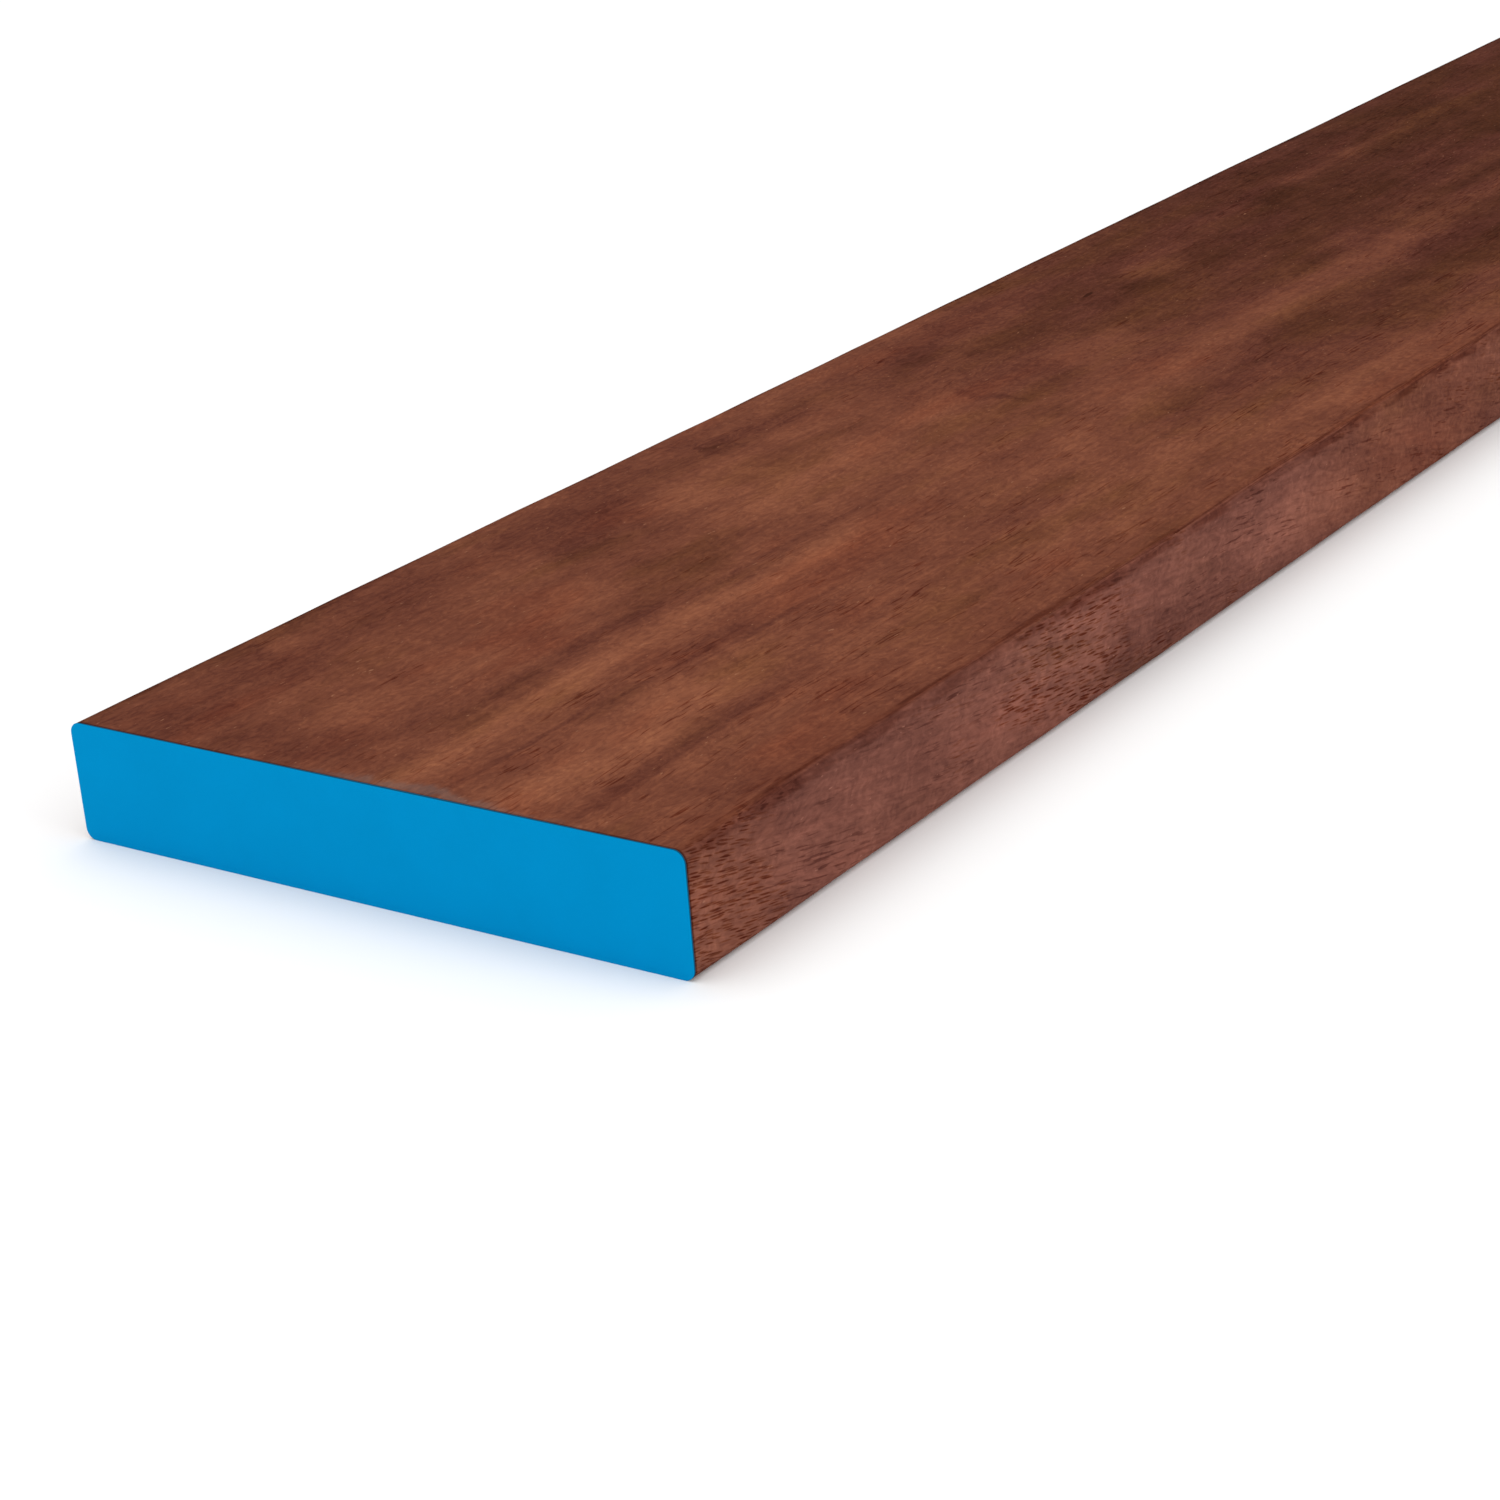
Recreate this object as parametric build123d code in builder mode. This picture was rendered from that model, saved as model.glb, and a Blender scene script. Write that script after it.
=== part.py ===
from build123d import *

import os

# A dressed hardwood plank: one length of solid timber, planed on all four sides, its long edges eased.
# It has no glue lines, holes or hardware, and nothing on it moves. Each sawn end carries a thin dried
# film of end-grain paint, which keeps the timber from drying out and splitting there.
#
# Frame, in millimetres: the origin is the middle of the underside, +X runs along the grain towards the
# rear end, +Y across the width and +Z up through the thickness. The plank lies flat on Z = 0.

# Driving dimensions.
LENGTH = 2400.0  # the timber, from one sawn end to the other
WIDTH = 190.0  # planed width, a stock size
THICKNESS = 32.0  # planed thickness, a stock size
ARRIS_RADIUS = 3.0  # the four long edges, rounded over by the planer
SEAL_THICKNESS = 0.4  # the dried film of paint on each sawn end

os.makedirs("parts", exist_ok=True)

# The timber: a rectangular section run along the grain, with every long edge rounded.
with BuildPart() as timber_plank:
    with BuildSketch(Plane.YZ.offset(-LENGTH / 2)):
        Rectangle(WIDTH, THICKNESS, align=(Align.CENTER, Align.MIN))
    extrude(amount=LENGTH)
    fillet(timber_plank.edges().filter_by(Axis.X), ARRIS_RADIUS)

# The end paint covers the whole of each sawn end, so its outline is the timber's own section.
sawn_ends = timber_plank.faces().filter_by(Axis.X).sort_by(Axis.X)

with BuildPart() as front_end_seal:
    extrude(sawn_ends.first, amount=SEAL_THICKNESS)

with BuildPart() as rear_end_seal:
    extrude(sawn_ends.last, amount=SEAL_THICKNESS)

timber_plank.part.label = "timber_plank"
front_end_seal.part.label = "front_end_seal"
rear_end_seal.part.label = "rear_end_seal"

export_step(timber_plank.part, "parts/timber_plank.step")
export_step(front_end_seal.part, "parts/front_end_seal.step")
export_step(rear_end_seal.part, "parts/rear_end_seal.step")

for piece in (timber_plank, front_end_seal, rear_end_seal):
    size = piece.part.bounding_box().size
    print(f"{piece.part.label}: {size.X:.1f} x {size.Y:.1f} x {size.Z:.1f} mm, {piece.part.volume:.0f} mm3")
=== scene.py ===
# %% [markdown]
# # A dressed hardwood plank with painted ends
#
# The object is one length of red-brown tropical hardwood. It was sawn, planed on all four sides, had its
# long edges rounded over, and then had its two sawn ends painted so that they dry slowly and don't split.
# It looks simple, so almost all of its character is in the surface: bands of growth, fine fibres, open
# pores, and the slightly uneven rim of the paint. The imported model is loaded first, and its three pieces
# give the timber's size, the place of its ends and the thickness of the paint.

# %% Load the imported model
import math

import bpy
from mathutils import Matrix, Vector, noise


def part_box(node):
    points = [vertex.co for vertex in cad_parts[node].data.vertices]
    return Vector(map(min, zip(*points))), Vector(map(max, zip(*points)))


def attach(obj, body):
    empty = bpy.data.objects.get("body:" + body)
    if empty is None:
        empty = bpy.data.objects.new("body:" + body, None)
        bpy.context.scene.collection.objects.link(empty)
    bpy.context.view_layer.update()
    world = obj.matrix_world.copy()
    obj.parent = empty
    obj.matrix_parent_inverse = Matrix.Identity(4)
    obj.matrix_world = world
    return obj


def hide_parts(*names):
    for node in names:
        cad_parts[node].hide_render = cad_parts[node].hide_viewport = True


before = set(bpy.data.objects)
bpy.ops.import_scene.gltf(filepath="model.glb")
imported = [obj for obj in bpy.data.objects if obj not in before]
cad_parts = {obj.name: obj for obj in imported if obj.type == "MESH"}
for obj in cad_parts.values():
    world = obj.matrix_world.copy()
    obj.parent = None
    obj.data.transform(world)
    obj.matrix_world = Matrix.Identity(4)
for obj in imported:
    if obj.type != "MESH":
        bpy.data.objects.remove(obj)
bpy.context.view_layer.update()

MM = 0.001  # Blender works in metres, and a maker thinks in millimetres

timber_low, timber_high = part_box("timber_plank")
film_low, film_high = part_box("front_end_seal")
LENGTH, WIDTH, THICKNESS = timber_high - timber_low
FRONT = timber_low.x
FILM = film_high.x - film_low.x
print(f"timber {LENGTH / MM:.0f} x {WIDTH / MM:.0f} x {THICKNESS / MM:.0f} mm, end paint {FILM / MM:.2f} mm")

# %% [markdown]
# ## The camera
#
# The plank is seen from just in front of its painted end, to the right of it and from above, so the end,
# the right edge and the top all show, and the far end runs out of the picture. A camera is easiest to place
# as its operator would say it: the spot that it is aimed at, how far off it stands, which way and how
# steeply it looks, and how far it is tipped to one side.

# %% Place the camera
AIM = Vector((FRONT + 118.9 * MM, -28.1 * MM, 0.0))
DISTANCE = 879.0 * MM
HEADING = math.radians(53.8)  # turned from straight along +Y towards +X
PITCH = math.radians(22.07)  # looking down
TIP = math.radians(4.62)  # its right side is the lower one

camera_data = bpy.data.cameras.new("camera")
camera_data.sensor_width = 36.0
camera_data.lens = 80.8
camera_data.clip_start = 0.01
camera = bpy.data.objects.new("camera", camera_data)
bpy.context.scene.collection.objects.link(camera)
bpy.context.scene.camera = camera

turn = Matrix.Rotation(-HEADING, 4, "Z") @ Matrix.Rotation(math.pi / 2 - PITCH, 4, "X")
turn = turn @ Matrix.Rotation(-TIP, 4, "Z")
camera.matrix_world = Matrix.Translation(AIM) @ turn @ Matrix.Translation((0.0, 0.0, DISTANCE))
print("camera at", [round(v, 3) for v in camera.matrix_world.translation])

# %% [markdown]
# ## The studio
#
# The plank lies on a pale floor in soft light from all round. Many lamps could give it, but a white world
# does the work of a whole light tent. The Standard view keeps the paint as bright as its real colour.

# %% Build the studio
scene = bpy.context.scene
scene.view_settings.view_transform = "Standard"

world = bpy.data.worlds.new("studio")
world.use_nodes = True
background = world.node_tree.nodes["Background"]
background.inputs["Color"].default_value = (1.0, 1.0, 1.0, 1.0)
background.inputs["Strength"].default_value = 0.85
scene.world = world

FLOOR_SIZE = 60.0  # in metres, so that it has no end in any view
bpy.ops.object.select_all(action="DESELECT")
bpy.ops.mesh.primitive_plane_add(size=FLOOR_SIZE, location=(0.0, 0.0, 0.0))
floor = bpy.context.object
floor.name = "floor"
floor_paint = bpy.data.materials.new("white_studio_floor")
floor_paint.use_nodes = True
floor_shader = floor_paint.node_tree.nodes["Principled BSDF"]
floor_shader.inputs["Base Color"].default_value = (0.96, 0.96, 0.96, 1.0)
floor_shader.inputs["Roughness"].default_value = 0.9
floor.data.materials.append(floor_paint)
print(f"floor {FLOOR_SIZE:.0f} m wide, world light {background.inputs['Strength'].default_value:.2f}")

# %% [markdown]
# Even light alone is flat. One large lamp overhead, a little to the left, gives the shape a gentle
# direction and a faint shadow at its foot. A second one, low and to the right, lifts the narrow edge out of
# that shadow. Both are as wide as the largest studio softboxes, or wider, so that no shadow has a hard rim.

# %% Hang the two lamps
LIT_POINT = (FRONT + 0.8, 0.0, 0.0)  # in metres, on the floor, near the middle of what the camera sees


def add_softbox(name, place, aim, size, watts):
    """A square area lamp at a place, turned to face the point that it lights."""
    lamp_data = bpy.data.lights.new(name, "AREA")
    lamp_data.size = size
    lamp_data.energy = watts
    lamp = bpy.data.objects.new(name, lamp_data)
    bpy.context.scene.collection.objects.link(lamp)
    lamp.location = place
    lamp.rotation_euler = (Vector(aim) - Vector(place)).to_track_quat("-Z", "Y").to_euler()
    print(f"{name}: {size:.0f} m wide, {watts:.0f} W")
    return lamp


add_softbox("overhead_softbox", (FRONT + 0.2, 1.0, 4.5), LIT_POINT, size=4.0, watts=70.0)
add_softbox("right_fill", (FRONT + 0.4, -4.5, 1.2), LIT_POINT, size=3.0, watts=57.0)

# %% [markdown]
# ## The timber's shape
#
# A planed board is a long box whose four long edges were rounded over by the cutter. It could be one
# extruded outline, but a box with bevelled edges says the same thing in fewer steps, and bisecting it
# afterwards gives even faces that the next steps can work on. The rounding is never quite even on a real
# board, and its flat faces are never quite flat, so two shallow displacements finish it.

# %% Plane the board
ARRIS = 3.0 * MM  # the rounding of each long edge
ARRIS_STEPS = 6  # faces round that quarter turn
STATIONS = 120  # slices along the board
RIPS = 12  # strips across each broad face
FLAT = WIDTH - 2 * ARRIS  # the width of a broad face between its roundings


def deselect_everything():
    """Clears the selection, because an operator acts on whatever is selected."""
    if bpy.context.object and bpy.context.object.mode != "OBJECT":
        bpy.ops.object.mode_set(mode="OBJECT")
    bpy.ops.object.select_all(action="DESELECT")


def add_box(name, low, high):
    """A box between two corners, with its place in its mesh, left selected and active in object mode."""
    deselect_everything()
    bpy.ops.mesh.primitive_cube_add(size=1.0, location=(Vector(low) + Vector(high)) / 2)
    box = bpy.context.object
    box.name = name
    box.scale = Vector(high) - Vector(low)
    bpy.ops.object.transform_apply(location=True, rotation=True, scale=True)
    return box


def select_edges(piece, wanted):
    """Selects the edges whose two ends pass a test, and leaves the piece in edit mode."""
    bpy.ops.object.mode_set(mode="EDIT")
    bpy.ops.mesh.select_mode(type="EDGE")
    bpy.ops.mesh.select_all(action="DESELECT")
    bpy.ops.object.mode_set(mode="OBJECT")
    points = piece.data.vertices
    for edge in piece.data.edges:
        edge.select = wanted(points[edge.vertices[0]].co, points[edge.vertices[1]].co)
    bpy.ops.object.mode_set(mode="EDIT")


def slice_across(axis, places):
    """Cuts the whole mesh, in edit mode, by a plane at each place along an axis."""
    normal = Vector((axis == "X", axis == "Y", axis == "Z"))
    for place in places:
        bpy.ops.mesh.select_all(action="SELECT")
        bpy.ops.mesh.bisect(plane_co=normal * place, plane_no=normal)


def runs_lengthwise(a, b):
    """Whether an edge between two points is one of the board's long edges."""
    return abs(a.x - b.x) > LENGTH / 2


board = add_box("dressed_board", timber_low, timber_high)
select_edges(board, runs_lengthwise)
bpy.ops.mesh.bevel(offset=ARRIS, offset_type="OFFSET", segments=ARRIS_STEPS, profile=0.5, affect="EDGES")
slice_across("X", [FRONT + LENGTH * i / STATIONS for i in range(1, STATIONS)])
slice_across("Y", [-FLAT / 2 + FLAT * i / RIPS for i in range(RIPS + 1)])
slice_across("Z", [ARRIS, THICKNESS / 2, THICKNESS - ARRIS])
bpy.ops.object.mode_set(mode="OBJECT")
print(f"board: {len(board.data.polygons)} faces")

# %% [markdown]
# The cutter leaves faces that are straight to a few tenths of a millimetre, and the rounding of the long
# edges wanders a little more than that. It could be sculpted, but two Displace modifiers with soft cloud
# textures put the same unevenness in each time. They fade out at the ends, so that the sawn ends stay true
# for the paint.

# %% Leave the planer's unevenness in it
END_FADE = 25 * MM  # the unevenness is full this far from each end


def add_group(piece, name, weight_of):
    """A vertex group whose weights come from each point's place."""
    group = piece.vertex_groups.new(name=name)
    for vertex in piece.data.vertices:
        group.add([vertex.index], weight_of(vertex.co), "REPLACE")
    return group.name


def displace(piece, name, cloud_size, depth, group):
    """Moves a piece's surface in and out by a soft cloud pattern, and applies it."""
    clouds = bpy.data.textures.new(name, type="CLOUDS")
    clouds.noise_scale = cloud_size
    modifier = piece.modifiers.new(name, "DISPLACE")
    modifier.texture = clouds
    modifier.strength = depth
    modifier.mid_level = 0.5
    modifier.vertex_group = group
    bpy.context.view_layer.objects.active = piece
    bpy.ops.object.modifier_apply(modifier=modifier.name)


def clear_of_ends(point):
    """The weight of the planing at a point: 0 at a sawn end and 1 well away from it."""
    return min(1.0, (LENGTH / 2 - abs(point.x)) / END_FADE)


def on_an_arris(point):
    """The weight of the rounding: as above on a rounded edge, and 0 on the flat faces and their borders."""
    beside = WIDTH / 2 - abs(point.y)
    above = min(point.z, THICKNESS - point.z)
    return clear_of_ends(point) if max(beside, above) < ARRIS - 0.03 * MM else 0.0


away = add_group(board, "clear_of_ends", clear_of_ends)
rounded = add_group(board, "on_an_arris", on_an_arris)
displace(board, "planing", cloud_size=150 * MM, depth=0.3 * MM, group=away)
displace(board, "rounding", cloud_size=35 * MM, depth=0.5 * MM, group=rounded)
bpy.ops.object.shade_smooth_by_angle(angle=math.radians(40))

# %% [markdown]
# A texture that is baked onto the board later needs the surface laid flat. Like a wrapper, it is cut along
# the middle of the underside and round the middle of the board, and unrolled into two long sheets that lie
# one above the other, with the two ends beside them, so that a square texture wastes little room. An unwrap
# operator could do it, but a rounded box unrolls exactly by walking round its section, and that never
# varies.

# %% Unroll the surface
GUTTER = 6 * MM  # left empty round each sheet, so that no colour bleeds over
HALF_GIRTH = WIDTH + THICKNESS - (4 - math.pi) * ARRIS
SHEET = LENGTH / 2 + 2 * GUTTER


def walk_round(y, z):
    """The distance round the section to a point, from the middle of the underside by the nearer side."""
    height = min(z, THICKNESS - z)
    corner_y, corner_z = min(abs(y), FLAT / 2), max(height, ARRIS)
    turned = math.atan2(abs(y) - corner_y, corner_z - height)
    walked = corner_y + ARRIS * turned + corner_z - ARRIS
    return walked if z < THICKNESS / 2 else HALF_GIRTH - walked


unrolled = board.data.uv_layers.new(name="OFBake").data
for face in board.data.polygons:
    rear_half = face.center.x > 0
    for corner in face.loop_indices:
        x, y, z = board.data.vertices[board.data.loops[corner].vertex_index].co
        if abs(face.normal.x) > 0.9:
            across, up = y + WIDTH / 2 + rear_half * (WIDTH + GUTTER), 4 * HALF_GIRTH + 2 * GUTTER + z
        else:
            across = x + (0 if rear_half else LENGTH / 2)
            walked = walk_round(y, z)
            up = walked if face.center.y > 0 else 2 * HALF_GIRTH - walked
            up = up + rear_half * (2 * HALF_GIRTH + GUTTER)
        unrolled[corner].uv = ((GUTTER + across) / SHEET, (GUTTER + up) / SHEET)
print(f"one square texture of 1024 gives {1024 * MM / SHEET:.2f} texels per mm")

# %% [markdown]
# ## The end paint
#
# End-grain paint is brushed on thick, and it dries to a skin of a few tenths of a millimetre. Its rim is
# soft, and it laps a little way over the edges, further in some places than in others. A flat sheet would
# show the timber's edge behind it, so it is modelled as a cap: a box with the timber's rounded section,
# whose back is inset and pushed in to make room for the timber. The outer rim is softened. The brim is
# pulled in and out point by point, which needs points to pull, so the cap is finely sliced.

# %% Paint the two sawn ends
SKIN = 0.05 * MM  # the paint's thickness where it laps over the edges
RIM = 0.2 * MM  # how softly it turns over them
RIM_STEPS = 3  # faces round that turn
LAP = 0.18 * MM  # how far it laps, on average
LEAST_LAP = 0.3 * LAP
BRUSH_MARK = 0.3 * MM  # how much further it goes where the brush ran over the top
BRUSH_MIDDLE, BRUSH_REACH = -18.0 * MM, 34.0 * MM  # where that is across the plank, and how far it spreads
WAVES = ((14.0 * MM, 0.10 * MM), (2.2 * MM, 0.12 * MM))  # the brim's waves: how long and how deep
RAGGED_STEP = 1.5 * MM  # the spacing of the points along the brim


def lap_at(point):
    """How far the paint laps over the edge here, from the brush's path and the fibres that it followed."""
    wander = sum(depth * noise.noise(point / length) for length, depth in WAVES)
    brushed = math.exp(-(((point.y - BRUSH_MIDDLE) / BRUSH_REACH) ** 2)) if point.z > THICKNESS / 2 else 0.0
    return max(LEAST_LAP, LAP + BRUSH_MARK * brushed + wander)


def add_end_film(name, end, outward):
    """A cap of dried paint on the sawn end at x = end, where outward is -1 or 1."""
    face, brim = end + outward * FILM, end - outward * LAP
    half_width = WIDTH / 2 + SKIN
    low = (min(face, brim), -half_width, -SKIN)
    high = (max(face, brim), half_width, THICKNESS + SKIN)
    film = add_box(name, low, high)
    select_edges(film, lambda a, b: abs(a.x - b.x) > LAP)
    bpy.ops.mesh.bevel(
        offset=ARRIS + SKIN, offset_type="OFFSET", segments=ARRIS_STEPS, profile=0.5, affect="EDGES"
    )
    select_edges(film, lambda a, b: max(abs(a.x - brim), abs(b.x - brim)) < SKIN)
    bpy.ops.mesh.select_mode(type="FACE")
    bpy.ops.mesh.inset(thickness=SKIN, use_even_offset=True)
    bpy.ops.mesh.extrude_region_move(TRANSFORM_OT_translate={"value": (outward * LAP, 0.0, 0.0)})
    select_edges(film, lambda a, b: max(abs(a.x - face), abs(b.x - face)) < SKIN)
    bpy.ops.mesh.bevel(offset=RIM, offset_type="OFFSET", segments=RIM_STEPS, profile=0.5, affect="EDGES")
    steps = int(FLAT / RAGGED_STEP)
    slice_across("Y", [-FLAT / 2 + FLAT * i / steps for i in range(steps + 1)])
    steps = int((THICKNESS - 2 * ARRIS) / RAGGED_STEP)
    slice_across("Z", [ARRIS + (THICKNESS - 2 * ARRIS) * i / steps for i in range(steps + 1)])
    bpy.ops.mesh.select_all(action="SELECT")
    bpy.ops.mesh.normals_make_consistent(inside=False)
    bpy.ops.object.mode_set(mode="OBJECT")
    for vertex in film.data.vertices:
        if abs(vertex.co.x - brim) < SKIN:
            vertex.co.x = end - outward * lap_at(vertex.co)
    bpy.ops.object.shade_smooth_by_angle(angle=math.radians(50))
    print(f"{name}: {len(film.data.polygons)} faces")
    return film


front_film = add_end_film("front_end_paint", timber_low.x, -1)
rear_film = add_end_film("rear_end_paint", timber_high.x, 1)

# %% [markdown]
# ## Helpers for the finishes
#
# Colours are written as the sRGB hex values that a paint chart would give, and one function turns them into
# the linear values that the shader works with. Materials are node trees, and one function adds a node: it
# sets what kind of node it is, and fills its inputs with plain values or with what other nodes give out.

# %% Colour and node helpers
# A smooth step never leaves its two ends, so its node needs no clamp after it.
SOFT_STEP = {"interpolation_type": "SMOOTHSTEP", "clamp": False}


def from_hex(colour):
    """A colour such as "#704232" as linear red, green, blue and alpha."""
    channels = [int(colour[i:i + 2], 16) / 255 for i in (1, 3, 5)]
    linear = [c / 12.92 if c <= 0.04045 else ((c + 0.055) / 1.055) ** 2.4 for c in channels]
    return (*linear, 1.0)


def add_node(tree, kind, settings=None, inputs=None):
    """Adds a node, sets its properties, and fills its inputs with values or links."""
    added = tree.nodes.new("ShaderNode" + kind)
    for name, value in (settings or {}).items():
        setattr(added, name, value)
    for name, value in (inputs or {}).items():
        if isinstance(value, bpy.types.NodeSocket):
            tree.links.new(value, added.inputs[name])
        else:
            added.inputs[name].default_value = value
    return added


def new_material(name, roughness, ior):
    """A material with an empty Principled shader, and its tree."""
    material = bpy.data.materials.new(name)
    material.use_nodes = True
    shader = material.node_tree.nodes["Principled BSDF"]
    shader.inputs["Roughness"].default_value = roughness
    shader.inputs["IOR"].default_value = ior
    return material, material.node_tree, shader


print("#808080 is", round(from_hex("#808080")[0], 3), "of full light")

# %% [markdown]
# ## The timber's finish
#
# The wood is merbau or a close relative: a heavy red-brown hardwood. Freshly planed and unoiled, it is
# matt, and the eye sees six things in it, from large to small:
#
# 1. broad bands and patches, some foxy and light, some dark and a little olive, most of them fifty to four
#    hundred millimetres long and ten to eighty wide;
# 2. clouds, and streaks a few millimetres wide, along the grain;
# 3. ripple and mottle, a fine unevenness that doesn't follow the grain;
# 4. fibres about a millimetre wide or less, which give the planed face its nap;
# 5. open pores, cut as short dark dashes where the fibres dive into the face, or as hairlines where they
#    run along it;
# 6. pale flecks of the mineral that fills some pores.
#
# A picture of wood wrapped round the board would show its joins at the edges. So all of this is drawn in
# three dimensions, as real wood is, and the faces only cut through it. First come the coordinates:
# millimetres from the front end, then the same thing bent a little, so that nothing runs dead straight.

# %% Timber: millimetres, and the bent grain
timber, tree, timber_shader = new_material("planed_merbau", roughness=0.7, ior=1.5)

place = add_node(tree, "TexCoord").outputs["Object"]
from_front = add_node(
    tree, "Mapping", {}, {"Vector": place, "Location": (LENGTH / 2 / MM, 0.0, 0.0), "Scale": (1 / MM,) * 3}
).outputs["Vector"]
axes = add_node(tree, "SeparateXYZ", {}, {0: from_front})

MIDDLE_GREY = (0.5, 0.5, 0.5)  # what noise gives on average, taken away so that it moves things both ways
BEND_SIZE = (180, 60, 50)  # the length, width and depth of one bend, in millimetres
DRIFT = (26.0, 14.0, 10.0)  # the whole range of its wander along, sideways and in depth, in millimetres
bend = add_node(tree, "Mapping", {}, {"Vector": from_front, "Scale": [1 / size for size in BEND_SIZE]})
bend = add_node(
    tree, "TexNoise", {}, {"Vector": bend.outputs[0], "Scale": 1.0, "Detail": 5.0, "Roughness": 0.55}
)
bend = add_node(
    tree, "VectorMath", {"operation": "SUBTRACT"}, {0: bend.outputs["Color"], 1: MIDDLE_GREY}
)
grain = add_node(
    tree, "VectorMath", {"operation": "MULTIPLY_ADD"}, {0: bend.outputs[0], 1: DRIFT, 2: from_front}
).outputs[0]
print(f"grain: one bend in about {BEND_SIZE[0]} mm")

# %% [markdown]
# This timber's fibres don't run parallel to the board. They dive towards the rear end, and they sway up and
# down on the way, as the interlocked grain of many tropical woods does. It hardly shows on the broad faces,
# but on the two narrow edges each fibre is seen at a slant. So the coordinates are swayed and tilted for
# the fibres, and a mask tells the narrow edges from the broad faces.

# %% Timber: diving fibres and the narrow edges
FIBRE_DIVE = math.radians(9)
SWAY_LENGTH, SWAY_DEPTH = 400.0, 4.2  # one wave of the sway, and how far it goes either way, in millimetres
sway = add_node(tree, "Math", {"operation": "MULTIPLY"}, {0: axes.outputs["X"], 1: math.tau / SWAY_LENGTH})
sway = add_node(tree, "Math", {"operation": "SINE"}, {0: sway.outputs[0]})
sway = add_node(tree, "Math", {"operation": "MULTIPLY"}, {0: sway.outputs[0], 1: SWAY_DEPTH})
sway = add_node(tree, "CombineXYZ", {}, {"Z": sway.outputs[0]})
swayed = add_node(tree, "VectorMath", {"operation": "ADD"}, {0: grain, 1: sway.outputs[0]})
fibre_way = add_node(
    tree, "Mapping", {}, {"Vector": swayed.outputs[0], "Rotation": (0.0, -FIBRE_DIVE, 0.0)}
).outputs["Vector"]

HALF_WIDTH = WIDTH / 2 / MM
FULL_UNDER = 0.6  # the mask is full from this far under the narrow edges outwards, in millimetres
off_middle = add_node(tree, "Math", {"operation": "ABSOLUTE"}, {0: axes.outputs["Y"]})
on_the_edges = add_node(
    tree, "MapRange", SOFT_STEP,
    {
        "Value": off_middle.outputs[0],
        "From Min": HALF_WIDTH - ARRIS / MM,
        "From Max": HALF_WIDTH - FULL_UNDER,
    },
).outputs[0]
# A Mix node has its vector inputs at 4 and 5 and its vector output at 1.
cut_grain = add_node(
    tree, "Mix", {"data_type": "VECTOR"}, {"Factor": on_the_edges, 4: grain, 5: fibre_way}
).outputs[1]
sway_slope = math.degrees(math.atan(SWAY_DEPTH * math.tau / SWAY_LENGTH))
print(f"the fibres dive at {math.degrees(FIBRE_DIVE):.0f} degrees, and the sway adds up to {sway_slope:.1f}")

# %% [markdown]
# The planer tears and crushes the fibres a little, which ruffles everything that is finer than a streak. It
# also feathers the rims of the larger marks. A second, much finer bend of the coordinates does both.

# %% Timber: ruffled coordinates
RUFFLE_SIZE = (14.0, 5.0, 5.0)  # the length, width and depth of one ruffle, in millimetres
RUFFLE = (14.0, 3.0, 3.0)  # the whole range that it moves things by, in the same directions
ruffle = add_node(tree, "VectorMath", {"operation": "DIVIDE"}, {0: from_front, 1: RUFFLE_SIZE})
ruffle = add_node(tree, "TexNoise", {}, {"Vector": ruffle.outputs[0], "Scale": 1.0, "Detail": 4.0})
ruffle = add_node(
    tree, "VectorMath", {"operation": "SUBTRACT"}, {0: ruffle.outputs["Color"], 1: MIDDLE_GREY}
)
ruffled = add_node(
    tree, "VectorMath", {"operation": "MULTIPLY_ADD"}, {0: ruffle.outputs[0], 1: RUFFLE, 2: grain}
).outputs[0]
print(f"{len(tree.nodes)} nodes for the coordinates")

# %% [markdown]
# Each scale of figure is a noise texture stretched along the grain. The stretch is written as the real
# length, width and depth of one mark in millimetres, and the texture's input is divided by them. How much
# each scale lightens or darkens the wood is one weight, and the weighted sum is the wood's tone, from 0,
# dark, to 1, light.
#
# The ripple runs the other way: it is the faint cross figure that the fibres' own waviness makes. The
# mottle has no direction at all. Single fibres are a few hundredths of a millimetre wide, which is too fine
# to show, so the ones drawn here stand for bundles.

# %% Timber: bands, clouds, streaks, ripple, mottle and fibres
FIGURE = {
    # name: (length, width and depth of a mark in mm), detail, weight in the tone, coordinates
    "bands": ((260.0, 26.0, 18.0), 2.0, 0.20, cut_grain),
    "clouds": ((22.0, 12.0, 10.0), 4.0, 0.32, cut_grain),
    "streaks": ((50.0, 2.2, 2.2), 3.0, 0.20, cut_grain),
    "ripple": ((4.5, 18.0, 18.0), 3.0, 0.18, ruffled),
    "mottle": ((1.8, 1.6, 1.6), 4.0, 0.42, ruffled),
    "fibres": ((7.0, 0.9, 0.9), 2.0, 0.18, fibre_way),
}
tone = 0.5 - sum(weight for _, _, weight, _ in FIGURE.values()) / 2
figure = {}
for name, (size, detail, weight, coordinates) in FIGURE.items():
    stretched = add_node(tree, "VectorMath", {"operation": "DIVIDE"}, {0: coordinates, 1: size})
    pattern = add_node(
        tree, "TexNoise", {}, {"Vector": stretched.outputs[0], "Scale": 1.0, "Detail": detail}
    )
    figure[name] = pattern.outputs["Fac"]
    tone = add_node(
        tree, "Math", {"operation": "MULTIPLY_ADD"}, {0: figure[name], 1: weight, 2: tone}
    ).outputs[0]
print("figure:", ", ".join(figure))

# %% [markdown]
# The narrow edges are coarser than the broad faces, because there the planer's knives cut across the
# fibres. One weight for both would make one of them wrong, so an extra streak is added to the tone on the
# edges alone.

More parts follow.
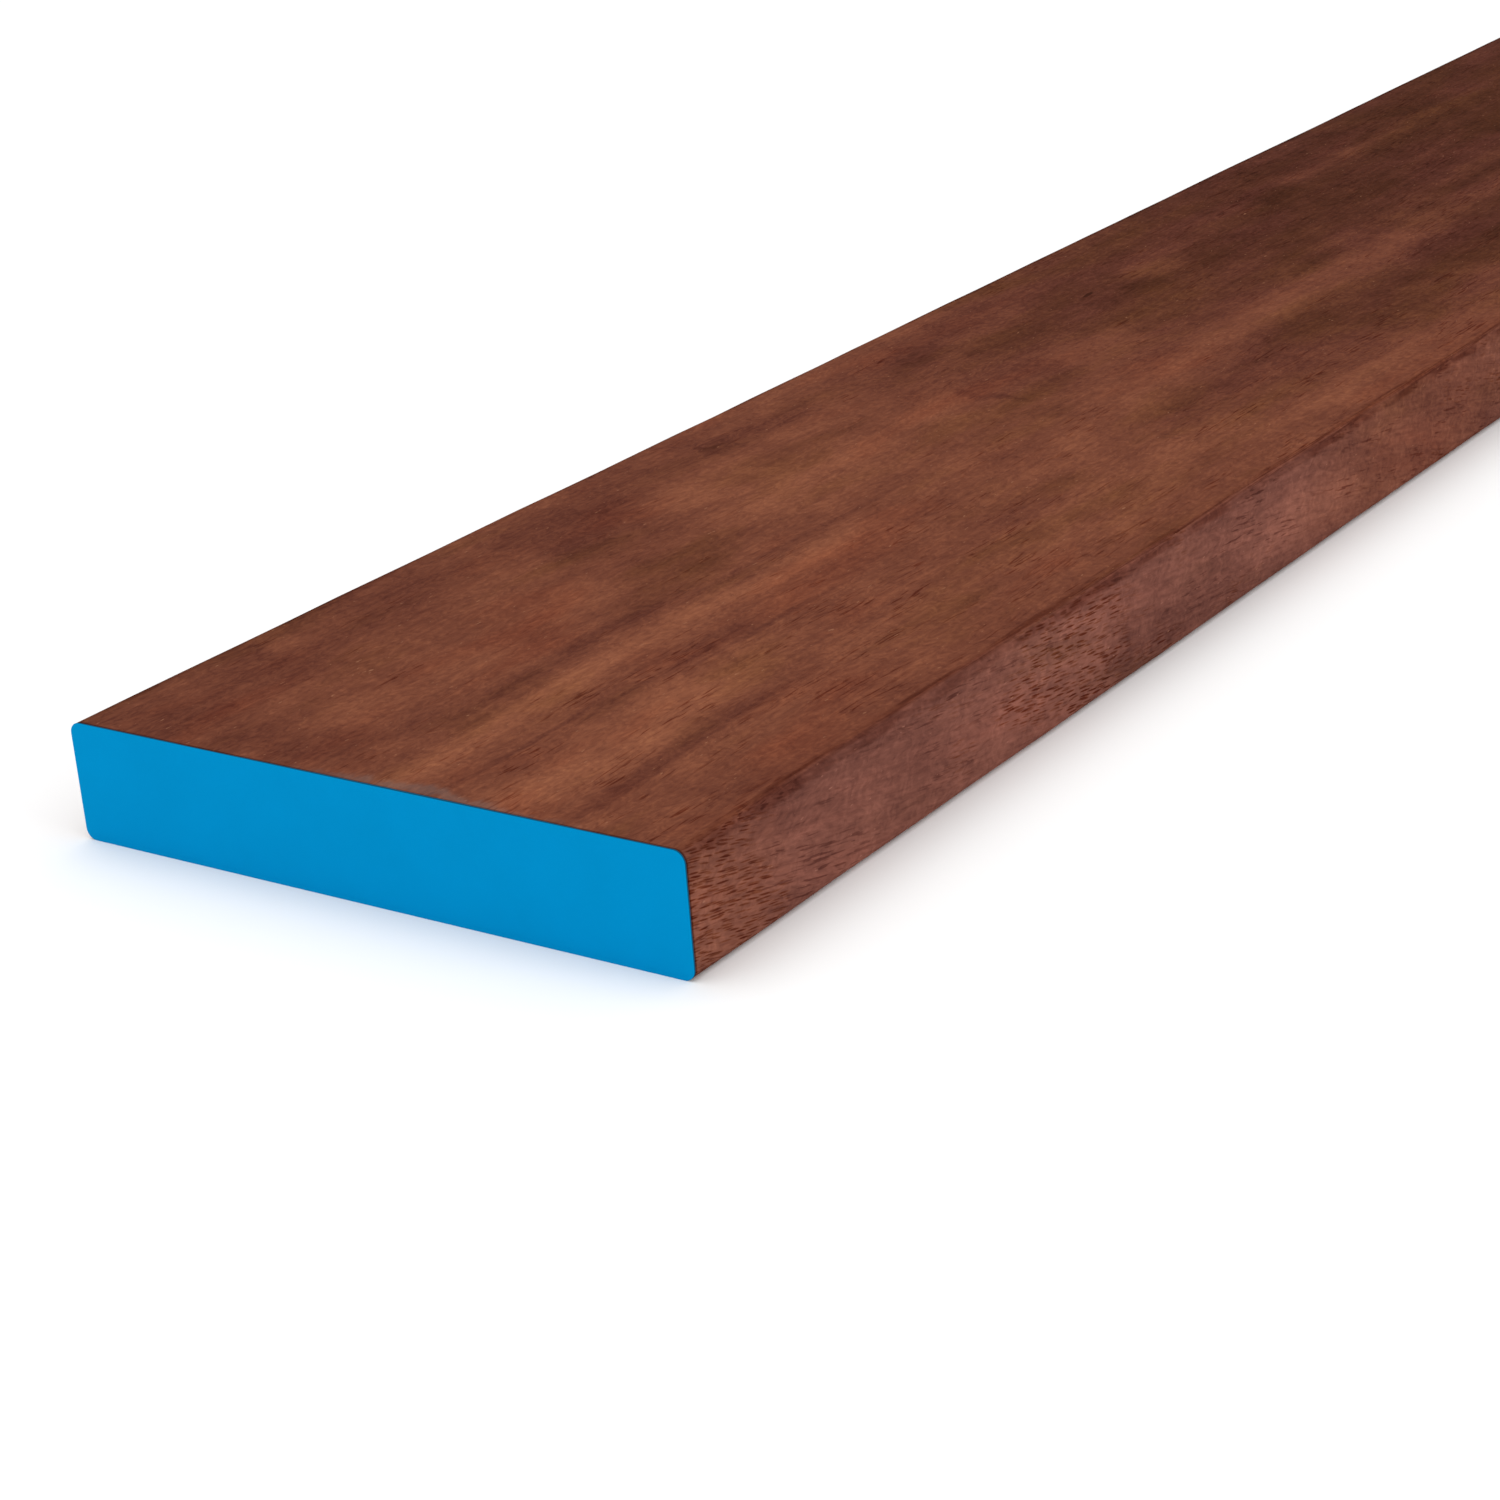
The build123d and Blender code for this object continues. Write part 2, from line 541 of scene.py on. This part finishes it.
# %% Timber: coarser edges
EDGE_STREAK = (8.0, 1.2, 1.2)  # the length, width and depth of a streak, in millimetres
EDGE_CONTRAST = 0.3
edge_streaks = add_node(tree, "VectorMath", {"operation": "DIVIDE"}, {0: fibre_way, 1: EDGE_STREAK})
edge_streaks = add_node(
    tree, "TexNoise", {}, {"Vector": edge_streaks.outputs[0], "Scale": 1.0, "Detail": 3.0, "Roughness": 0.6}
)
edge_streaks = add_node(
    tree, "Math", {"operation": "MULTIPLY_ADD"},
    {0: edge_streaks.outputs["Fac"], 1: EDGE_CONTRAST, 2: -EDGE_CONTRAST / 2},
)
tone = add_node(
    tree, "Math", {"operation": "MULTIPLY_ADD"}, {0: edge_streaks.outputs[0], 1: on_the_edges, 2: tone}
).outputs[0]
print(f"edge streaks: {EDGE_STREAK[0]:.0f} mm long and {EDGE_STREAK[1]:.1f} mm wide")

# %% [markdown]
# Noise alone makes every board alike. This one has its own marks, and the larger ones are listed one by one.
# They could be painted on, but a soft ellipsoid sunk into the wood costs only four nodes. Each is written
# as its place, which is how far it is from the front end, how far to the left of the middle line and how
# high, then how long, wide and deep it is, and then how much lighter it makes the wood, or darker where
# that is below 0. The ruffled coordinates feather their rims, so that they sink into the grain. Later cells
# use the same function for marks of other things, such as hue and open pores.

# %% Timber: this board's own marks
TOP, SIDE = THICKNESS / MM, -WIDTH / 2 / MM
LIGHT_MARKS = [
    ((70, 36, TOP), (90, 50, 20), 0.02),
    ((222, 46, TOP), (60, 80, 20), 0.07),
    ((262, 30, TOP), (40, 36, 16), 0.08),
    ((316, 26, TOP), (44, 40, 16), 0.08),
    ((60, -8, TOP), (190, 13, 12), 0.14),
    ((60, -42, TOP), (150, 24, 14), 0.12),
    ((178, -12, TOP), (110, 12, 12), 0.12),
    ((330, -28, TOP), (150, 26, 14), 0.08),
    ((390, 14, TOP), (60, 34, 14), 0.06),
    ((530, -17, TOP), (360, 22, 14), 0.13),
    ((485, 48, TOP), (34, 24, 12), 0.16),
    ((620, 2, TOP), (300, 14, 12), 0.08),
    ((715, 58, TOP), (240, 14, 12), 0.12),
    ((400, -78, TOP), (200, 12, 12), 0.09),
    ((69, 86, TOP), (14, 24, 8), 0.10),
    ((385, 90, TOP), (56, 14, 8), 0.10),
    ((392, 57, TOP), (60, 20, 12), 0.09),
    ((12, SIDE, 16), (44, 10, 44), 0.09),
    ((58, SIDE, 10), (50, 10, 26), 0.08),
    ((155, SIDE, 16), (100, 10, 44), 0.12),
    ((312, SIDE, 14), (90, 10, 24), 0.10),
]
DARK_MARKS = [
    ((60, 78, TOP), (200, 60, 24), -0.12),
    ((14, 40, TOP), (30, 80, 20), -0.10),
    ((95, 6, TOP), (120, 11, 12), -0.14),
    ((183, 0, TOP), (130, 6, 8), -0.08),
    ((50, -59, TOP), (130, 8, 10), -0.16),
    ((118, -25, TOP), (40, 10, 10), -0.10),
    ((166, 40, TOP), (60, 76, 20), -0.10),
    ((176, 64, TOP), (70, 30, 16), -0.10),
    ((273, 73, TOP), (70, 15, 14), -0.12),
    ((247, 76, TOP), (5, 24, 10), -0.05),
    ((333, 22, TOP), (7, 36, 10), -0.12),
    ((354, 20, TOP), (44, 44, 14), -0.06),
    ((361, 69, TOP), (36, 15, 12), -0.10),
    ((405, 62, TOP), (190, 54, 16), -0.08),
    ((404, -46, TOP), (190, 44, 16), -0.13),
    ((545, -40, TOP), (180, 26, 14), -0.10),
    ((596, 58, TOP), (40, 22, 12), -0.10),
    ((444, 53, TOP), (7, 2.2, 10), -0.90),  # a nick
    ((790, 40, TOP), (900, 360, 80), -0.27),  # one long stretch of the board is darker
    ((214, SIDE, 9), (60, 10, 16), -0.08),
    # The next mark, a darker strip of the top along the rounded edge on the SIDE side, is painted shade that
    # carries that edge's darkening onto the top.
    ((80, -88, TOP), (300, 34, 24), -0.055),
    ((215, 80, TOP), (120, 36, 16), -0.10),
]
# The bands of the rear part run right through the thickness.
REAR_MARKS = [
    ((930, -48, TOP), (440, 24, 90), 0.12),
    ((1130, 22, TOP), (360, 26, 90), 0.12),
    ((1240, -66, TOP), (400, 26, 90), -0.10),
    ((1400, -24, TOP), (460, 20, 90), 0.11),
    ((1450, 14, TOP), (460, 22, 90), -0.13),
    ((1640, 50, TOP), (420, 30, 90), 0.10),
    ((1730, -14, TOP), (420, 18, 90), -0.13),
    ((1860, -60, TOP), (420, 22, 90), 0.11),
    ((1960, 40, TOP), (420, 32, 90), -0.12),
    ((2120, 4, TOP), (440, 18, 90), 0.12),
    ((2200, -34, TOP), (380, 24, 90), -0.12),
    ((2330, 58, TOP), (200, 40, 90), 0.08),
]
# One dark line between two growth layers runs at a slight angle to the board.
GROWTH_LINE = [
    ((35, -23, TOP), (80, 2.4, 10), -0.12),
    ((85, -26, TOP), (80, 2.4, 10), -0.12),
    ((135, -30, TOP), (80, 2.4, 10), -0.12),
]

REACH = 0.62  # how far from its centre a mark ends, as a share of its size
CORE = 0.7  # the gradient is 1 at the centre and 0 at the end, and from here inwards the mark is full


def add_marks(total, marks):
    """Adds each mark's strength, full in its middle and fading to its rim, to a running total."""
    for centre, size, strength in marks:
        reach = [REACH * extent for extent in size]
        # A mapping of the Texture kind takes the centre away and divides by the reach.
        sized = add_node(
            tree, "Mapping", {"vector_type": "TEXTURE"},
            {"Vector": ruffled, "Location": centre, "Scale": reach},
        )
        inside = add_node(tree, "TexGradient", {"gradient_type": "SPHERICAL"}, {"Vector": sized.outputs[0]})
        mark = add_node(
            tree, "MapRange", SOFT_STEP,
            {"Value": inside.outputs["Fac"], "From Max": CORE, "To Max": strength},
        )
        total = add_node(tree, "Math", {"operation": "ADD"}, {0: total, 1: mark.outputs[0]}).outputs[0]
    print(f"{len(marks)} marks, {len(tree.nodes)} nodes so far")
    return total


tone = add_marks(tone, LIGHT_MARKS + DARK_MARKS + REAR_MARKS + GROWTH_LINE)

# %% [markdown]
# The tone picks a colour from a ramp of the wood's own browns. A blend of its darkest and its lightest
# would look like stained card, because the hue shifts a little on the way, so the ramp has five steps.

# %% Timber: colours
BROWNS = [
    # tone, colour
    (0.05, "#3C1C13"),
    (0.30, "#593025"),
    (0.50, "#6F402F"),
    (0.70, "#86513A"),
    (0.95, "#A26948"),
]
ramp = add_node(tree, "ValToRGB", {}, {"Fac": tone})
stops = ramp.color_ramp.elements
while len(stops) < len(BROWNS):
    stops.new(0.5)
for stop, (position, colour) in zip(stops, BROWNS):
    stop.position = position
    stop.color = from_hex(colour)
wood_colour = ramp.outputs["Color"]
print("browns from", BROWNS[0][1], "to", BROWNS[-1][1])

# %% [markdown]
# Heartwood isn't one hue. A second, slower noise, with marks of its own, leans the browns a little towards
# olive or towards red. Both leanings are pale tints that the brown is multiplied by, so they hardly darken
# it.

# %% Timber: olive and red
HUE_SIZE = (70.0, 22.0, 14.0)
OLIVE_MARKS = [
    # as above, but the strength is towards olive, or towards red where it is below 0
    ((165, 40, TOP), (70, 80, 20), 0.10),
    ((430, -48, TOP), (300, 56, 16), 0.16),
    ((640, 40, TOP), (640, 260, 60), 0.20),
    ((530, -17, TOP), (420, 26, 16), -0.14),
    ((214, SIDE, 9), (60, 10, 16), 0.10),
    ((392, 66, TOP), (130, 50, 16), -0.12),
]
LEANINGS = [
    # from this much hue noise, up or down to this much, towards
    (0.54, 0.84, "#E4EACC"),
    (0.47, 0.20, "#FFECE6"),
]
hue_place = add_node(tree, "VectorMath", {"operation": "DIVIDE"}, {0: cut_grain, 1: HUE_SIZE})
hue = add_node(tree, "TexNoise", {}, {"Vector": hue_place.outputs[0], "Scale": 1.0, "Detail": 3.0})
hue = add_marks(hue.outputs["Fac"], OLIVE_MARKS)
for start, full, leaning in LEANINGS:
    amount = add_node(tree, "MapRange", {}, {"Value": hue, "From Min": start, "From Max": full})
    # A Mix node has its colour inputs at 6 and 7 and its colour output at 2.
    wood_colour = add_node(
        tree, "Mix", {"data_type": "RGBA", "blend_type": "MULTIPLY"},
        {"Factor": amount.outputs[0], 6: wood_colour, 7: from_hex(leaning)},
    ).outputs[2]

# %% [markdown]
# Pores are the cut ends of the tubes that carried the tree's sap. They crowd together in some places and
# are nearly missing in others. Noise alone could place them, but this board's crowds sit in places of their
# own, so marks are added to it, as they were to the tone. Planing along the fibres has closed most of the
# pores on the broad faces.

# %% Timber: where the pores are open
CROWD_SIZE = (30.0, 14.0, 14.0)
CROWDS = [
    ((8, SIDE, 14), (60, 10, 60), 0.50),
    ((168, SIDE, 16), (64, 10, 50), 0.26),
    ((85, SIDE, 26), (90, 10, 12), 0.16),
    ((72, SIDE, 12), (70, 10, 50), -0.26),
    ((345, SIDE, 16), (160, 10, 50), -0.10),
]
SPARSE, DENSE = 0.48, 0.74  # the crowding below which pores are rare, and above which all of them are there
FEWEST = 0.06  # their share where they are rare
OPEN_ON_FACES, OPEN_ON_EDGES = 0.2, 0.8
crowding = add_node(tree, "VectorMath", {"operation": "DIVIDE"}, {0: from_front, 1: CROWD_SIZE})
crowding = add_node(tree, "TexNoise", {}, {"Vector": crowding.outputs[0], "Scale": 1.0, "Detail": 3.0})
crowding = add_marks(crowding.outputs["Fac"], CROWDS)
crowded = add_node(
    tree, "MapRange", SOFT_STEP,
    {"Value": crowding, "From Min": SPARSE, "From Max": DENSE, "To Min": FEWEST},
)
openness = add_node(
    tree, "MapRange", {}, {"Value": on_the_edges, "To Min": OPEN_ON_FACES, "To Max": OPEN_ON_EDGES}
)

# %% [markdown]
# The tubes are about 0.3 mm across, which is too fine to show, so they are drawn about 0.5 mm wide. A fibre
# that dives at a slant is cut as a dash. Drawing each dash would take thousands of them, but cells
# stretched in the tilted coordinates give them for nothing: one pore in each cell, and no two alike.

# %% Timber: the pores
PORE_CELL = (6.2, 0.62, 0.62)  # the length, width and depth of the wood that one pore has to itself
PORE_RIM, PORE_CORE = 0.54, 0.26  # how far from its middle a pore begins and is full, in cells
FAINTEST = 0.45  # how strong the shallowest pore is, where the deepest is 1
cells = add_node(tree, "VectorMath", {"operation": "DIVIDE"}, {0: fibre_way, 1: PORE_CELL})
cells = add_node(tree, "TexVoronoi", {}, {"Vector": cells.outputs[0], "Scale": 1.0})
pores = add_node(
    tree, "MapRange", SOFT_STEP,
    {"Value": cells.outputs["Distance"], "From Min": PORE_RIM, "From Max": PORE_CORE},
)
unlike = add_node(tree, "SeparateColor", {}, {"Color": cells.outputs["Color"]})
unlike = add_node(tree, "MapRange", {}, {"Value": unlike.outputs[0], "To Min": FAINTEST})
for share in (unlike, crowded, openness):
    pores = add_node(tree, "Math", {"operation": "MULTIPLY"}, {0: pores.outputs[0], 1: share.outputs[0]})
pores = pores.outputs[0]
print(f"one pore in each {PORE_CELL[0]} x {PORE_CELL[1]} mm of fibre")

# %% [markdown]
# Hairlines are the pores that happen to run along the cut. They come in clusters, and there are fewer of
# them where the planer left the top smoothest. A few pores hold a pale yellowish mineral, which shows as
# flecks. Both are so thin and faint that stretched noise, with all but its peaks cut off, does for them.
# Like the pores, they are drawn a little wider than they are, so that they show.

# %% Timber: hairlines and flecks
CLUSTER_SIZE = (32.0, 7.0, 7.0)
SMOOTH_PLACES = [((160, 55, TOP), (700, 130, 40), -0.12), ((340, -10, TOP), (360, 90, 40), -0.07)]
LINES = {
    # name: (length, width and depth in mm), noise where they begin and are full, how strong, coordinates
    "hairlines": ((8.0, 0.7, 0.7), (0.54, 0.68), 1.0, cut_grain),
    "flecks": ((3.0, 0.8, 0.8), (0.74, 0.80), 0.5, grain),
}
BETWEEN, WITHIN = 0.46, 0.66  # the noise below which hairlines are rare, and above which all are there
FEWEST_LINES = 0.10
clusters = add_node(tree, "VectorMath", {"operation": "DIVIDE"}, {0: ruffled, 1: CLUSTER_SIZE})
clusters = add_node(tree, "TexNoise", {}, {"Vector": clusters.outputs[0], "Scale": 1.0, "Detail": 2.0})
clusters = add_marks(clusters.outputs["Fac"], SMOOTH_PLACES)
clusters = add_node(
    tree, "MapRange", SOFT_STEP,
    {"Value": clusters, "From Min": BETWEEN, "From Max": WITHIN, "To Min": FEWEST_LINES},
)
lines = {}
for name, (size, (start, full), strength, coordinates) in LINES.items():
    stretched = add_node(tree, "VectorMath", {"operation": "DIVIDE"}, {0: coordinates, 1: size})
    pattern = add_node(tree, "TexNoise", {}, {"Vector": stretched.outputs[0], "Scale": 1.0, "Detail": 1.0})
    lines[name] = add_node(
        tree, "MapRange", SOFT_STEP,
        {"Value": pattern.outputs["Fac"], "From Min": start, "From Max": full, "To Max": strength},
    ).outputs[0]
hairlines = add_node(
    tree, "Math", {"operation": "MULTIPLY"}, {0: lines["hairlines"], 1: clusters.outputs[0]}
)
for amount, tint in ((pores, "#8A281C"), (hairlines.outputs[0], "#C8A89E")):
    wood_colour = add_node(
        tree, "Mix", {"data_type": "RGBA", "blend_type": "MULTIPLY"},
        {"Factor": amount, 6: wood_colour, 7: from_hex(tint)},
    ).outputs[2]
wood_colour = add_node(
    tree, "Mix", {"data_type": "RGBA"}, {"Factor": lines["flecks"], 6: wood_colour, 7: from_hex("#A07054")},
).outputs[2]
print(f"{len(tree.nodes)} nodes so far")

# %% [markdown]
# The narrow edges, cut across the growth layers, are a touch pinker than the broad faces, in some places
# less than in others, but the pores in them keep a deeper red of their own. Beside the paint, in one place
# on the top, a faint grey bloom lies on the wood where the brush ran over. Each is a tint with its own
# mask, because one tint for the whole board would spoil the broad faces.

# %% Timber: pink edges and grey bloom
PINKNESS = 0.6
LESS_PINK = [((400, SIDE, 16), (200, 10, 60), -0.35), ((8, SIDE, 16), (70, 10, 60), -0.22)]
pinkness = add_node(tree, "Math", {"operation": "MULTIPLY"}, {0: on_the_edges, 1: PINKNESS})
pinkness = add_marks(pinkness.outputs[0], LESS_PINK)
pinkness = add_node(
    tree, "Math", {"operation": "SUBTRACT", "use_clamp": True}, {0: pinkness, 1: pores}
).outputs[0]
wood_colour = add_node(
    tree, "Mix", {"data_type": "RGBA", "blend_type": "COLOR"},
    {"Factor": pinkness, 6: wood_colour, 7: from_hex("#7A4F48")},
).outputs[2]
BLOOM = [((0, -18, TOP), (8, 70, 8), 0.14), ((0, -20, TOP), (5, 110, 8), 0.12)]
bloom = add_marks(0.0, BLOOM)
wood_colour = add_node(
    tree, "Mix", {"data_type": "RGBA"}, {"Factor": bloom, 6: wood_colour, 7: from_hex("#6A6664")},
).outputs[2]

# %% [markdown]
# The upper rounded edges are a little darker and redder, in streaks, and more in some places than in
# others. This is painted shade of the rounded edges, together with some wear from hands and straps. A
# point's distance from the two faces that meet there makes the mask, and the streaks and clouds of the
# figure break it up. Round both ends, the wood has taken up a little of the paint's binder, which leaves a
# thin dark line.

# %% Timber: painted shade and wear on the upper edges, and the line beside the paint
SHADE_AND_WEAR_RIM, SHADE_AND_WEAR_CORE = 4.6, 2.6  # how far from both faces the painted shade and wear begin and are full, in millimetres
DOWNWARD = 1.4  # it reaches this many times less far down the narrow edge than across the top
RAGGEDNESS = 5.0  # the whole range that the streaks move its border by, in millimetres
FAINTEST_EDGE_NOISE, DARKEST_EDGE_NOISE = 0.58, 0.40  # the clouds' noise where the edges are darkened least, and most
FAINTEST_EDGE_DARKENING = 0.35
below_top = add_node(tree, "Math", {"operation": "SUBTRACT"}, {0: THICKNESS / MM, 1: axes.outputs["Z"]})
from_side = add_node(tree, "Math", {"operation": "SUBTRACT"}, {0: HALF_WIDTH, 1: off_middle.outputs[0]})
below_top = add_node(tree, "Math", {"operation": "MULTIPLY"}, {0: below_top.outputs[0], 1: DOWNWARD})
from_arris = add_node(
    tree, "Math", {"operation": "MAXIMUM"}, {0: below_top.outputs[0], 1: from_side.outputs[0]}
)
uneven = add_node(
    tree, "Math", {"operation": "MULTIPLY_ADD"}, {0: figure["streaks"], 1: RAGGEDNESS, 2: -RAGGEDNESS / 2}
)
from_arris = add_node(tree, "Math", {"operation": "ADD"}, {0: from_arris.outputs[0], 1: uneven.outputs[0]})
edge_shade_and_wear = add_node(
    tree, "MapRange", SOFT_STEP,
    {"Value": from_arris.outputs[0], "From Min": SHADE_AND_WEAR_RIM, "From Max": SHADE_AND_WEAR_CORE},
)
edge_darkening_share = add_node(
    tree, "MapRange", {},
    {"Value": figure["clouds"], "From Min": FAINTEST_EDGE_NOISE, "From Max": DARKEST_EDGE_NOISE, "To Min": FAINTEST_EDGE_DARKENING},
)
edge_shade_and_wear = add_node(tree, "Math", {"operation": "MULTIPLY"}, {0: edge_shade_and_wear.outputs[0], 1: edge_darkening_share.outputs[0]})

SOAKED_RIM, SOAKED_CORE = 1.2, 0.4  # how far from the ends the dark line begins and is full, in millimetres
from_ends = add_node(tree, "Math", {"operation": "PINGPONG"}, {0: axes.outputs["X"], 1: LENGTH / MM / 2})
soaked = add_node(
    tree, "MapRange", SOFT_STEP,
    {"Value": from_ends.outputs[0], "From Min": SOAKED_RIM, "From Max": SOAKED_CORE},
)
# The first tint is the painted shade of the upper rounded edges, with some wear. The second is the soaked
# line beside the paint.
for amount, tint in ((edge_shade_and_wear.outputs[0], "#D0BEB8"), (soaked.outputs[0], "#A09490")):
    wood_colour = add_node(
        tree, "Mix", {"data_type": "RGBA", "blend_type": "MULTIPLY"},
        {"Factor": amount, 6: wood_colour, 7: from_hex(tint)},
    ).outputs[2]
print(f"{len(tree.nodes)} nodes so far")

# %% [markdown]
# Planed wood without oil or varnish scatters nearly all of its light, so it keeps its colour from every
# side and has next to no highlight. What relief it has is a tenth of a millimetre: the pores are grooves
# and the fibres are ridges. Both patterns are there already, so a Bump node turns them into that relief.

# %% Timber: matt surface and relief
RELIEF = 0.12 * MM
tree.links.new(wood_colour, timber_shader.inputs["Base Color"])
timber_shader.inputs["Specular IOR Level"].default_value = 0.005
ridges = add_node(tree, "Math", {"operation": "MULTIPLY_ADD"}, {0: pores, 1: -1.0, 2: figure["fibres"]})
bump = add_node(
    tree, "Bump", {}, {"Height": ridges.outputs[0], "Strength": 0.5, "Distance": RELIEF}
)
tree.links.new(bump.outputs["Normal"], timber_shader.inputs["Normal"])
print(f"{timber.name}: {len(tree.nodes)} nodes, {len(tree.links)} links")

# %% [markdown]
# ## The paint's finish
#
# End sealer is a flat acrylic paint in a plain bright colour, so that a stacked board can be told from its
# end. It has next to no gloss, and a brush leaves it almost even, with a soft stipple where it has dried.
# One flat blue would look printed, so it wanders a very little. Where the paint turns over the rim, it
# thins out, and the dark wood behind it shows through.

# %% Flat blue acrylic
STIPPLE, COVERAGE = 2.5 * MM, 30 * MM  # the size of one bump of the stipple, and of one thicker patch
TURNED_OVER = 0.3 * MM  # the paint is at its thinnest this far behind its face
STIPPLE_DEPTH = 0.05 * MM
paint, tree, paint_shader = new_material("flat_acrylic_end_paint", roughness=0.8, ior=1.46)
paint_shader.inputs["Specular IOR Level"].default_value = 0.01
place = add_node(tree, "TexCoord").outputs["Object"]
stipple, coverage = [
    add_node(tree, "TexNoise", {}, {"Vector": place, "Scale": 1 / size, "Detail": 3.0, "Roughness": 0.6})
    for size in (STIPPLE, COVERAGE)
]
blue = add_node(
    tree, "Mix", {"data_type": "RGBA"},
    {"Factor": coverage.outputs["Fac"], 6: from_hex("#0089C2"), 7: from_hex("#0092CF")},
)
along = add_node(tree, "SeparateXYZ", {}, {0: place})
out_from_middle = add_node(tree, "Math", {"operation": "ABSOLUTE"}, {0: along.outputs["X"]})
END_FACE = LENGTH / 2 + FILM
thinned = add_node(
    tree, "MapRange", SOFT_STEP,
    {"Value": out_from_middle.outputs[0], "From Min": END_FACE, "From Max": END_FACE - TURNED_OVER},
)
blue = add_node(
    tree, "Mix", {"data_type": "RGBA"},
    {"Factor": thinned.outputs[0], 6: blue.outputs[2], 7: from_hex("#0A4C68")},
)
tree.links.new(blue.outputs[2], paint_shader.inputs["Base Color"])
bump = add_node(
    tree, "Bump", {}, {"Height": stipple.outputs["Fac"], "Strength": 0.3, "Distance": STIPPLE_DEPTH}
)
tree.links.new(bump.outputs["Normal"], paint_shader.inputs["Normal"])
print(f"{paint.name}: {len(tree.nodes)} nodes")

# %% [markdown]
# ## Putting the pieces together
#
# Nothing moves, so every piece rides on the one body. Each new piece takes its finish, and the imported
# piece that it stands for is hidden.

# %% Ride, take the finishes and replace
for piece, node, finish, slot in (
    (board, "timber_plank", timber, "timber"),
    (front_film, "front_end_seal", paint, "end_paint"),
    (rear_film, "rear_end_seal", paint, "end_paint"),
):
    piece.data.materials.clear()
    piece.data.materials.append(finish)
    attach(piece, "root")
    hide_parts(node)
    print(f"{piece.name} stands for {node}")
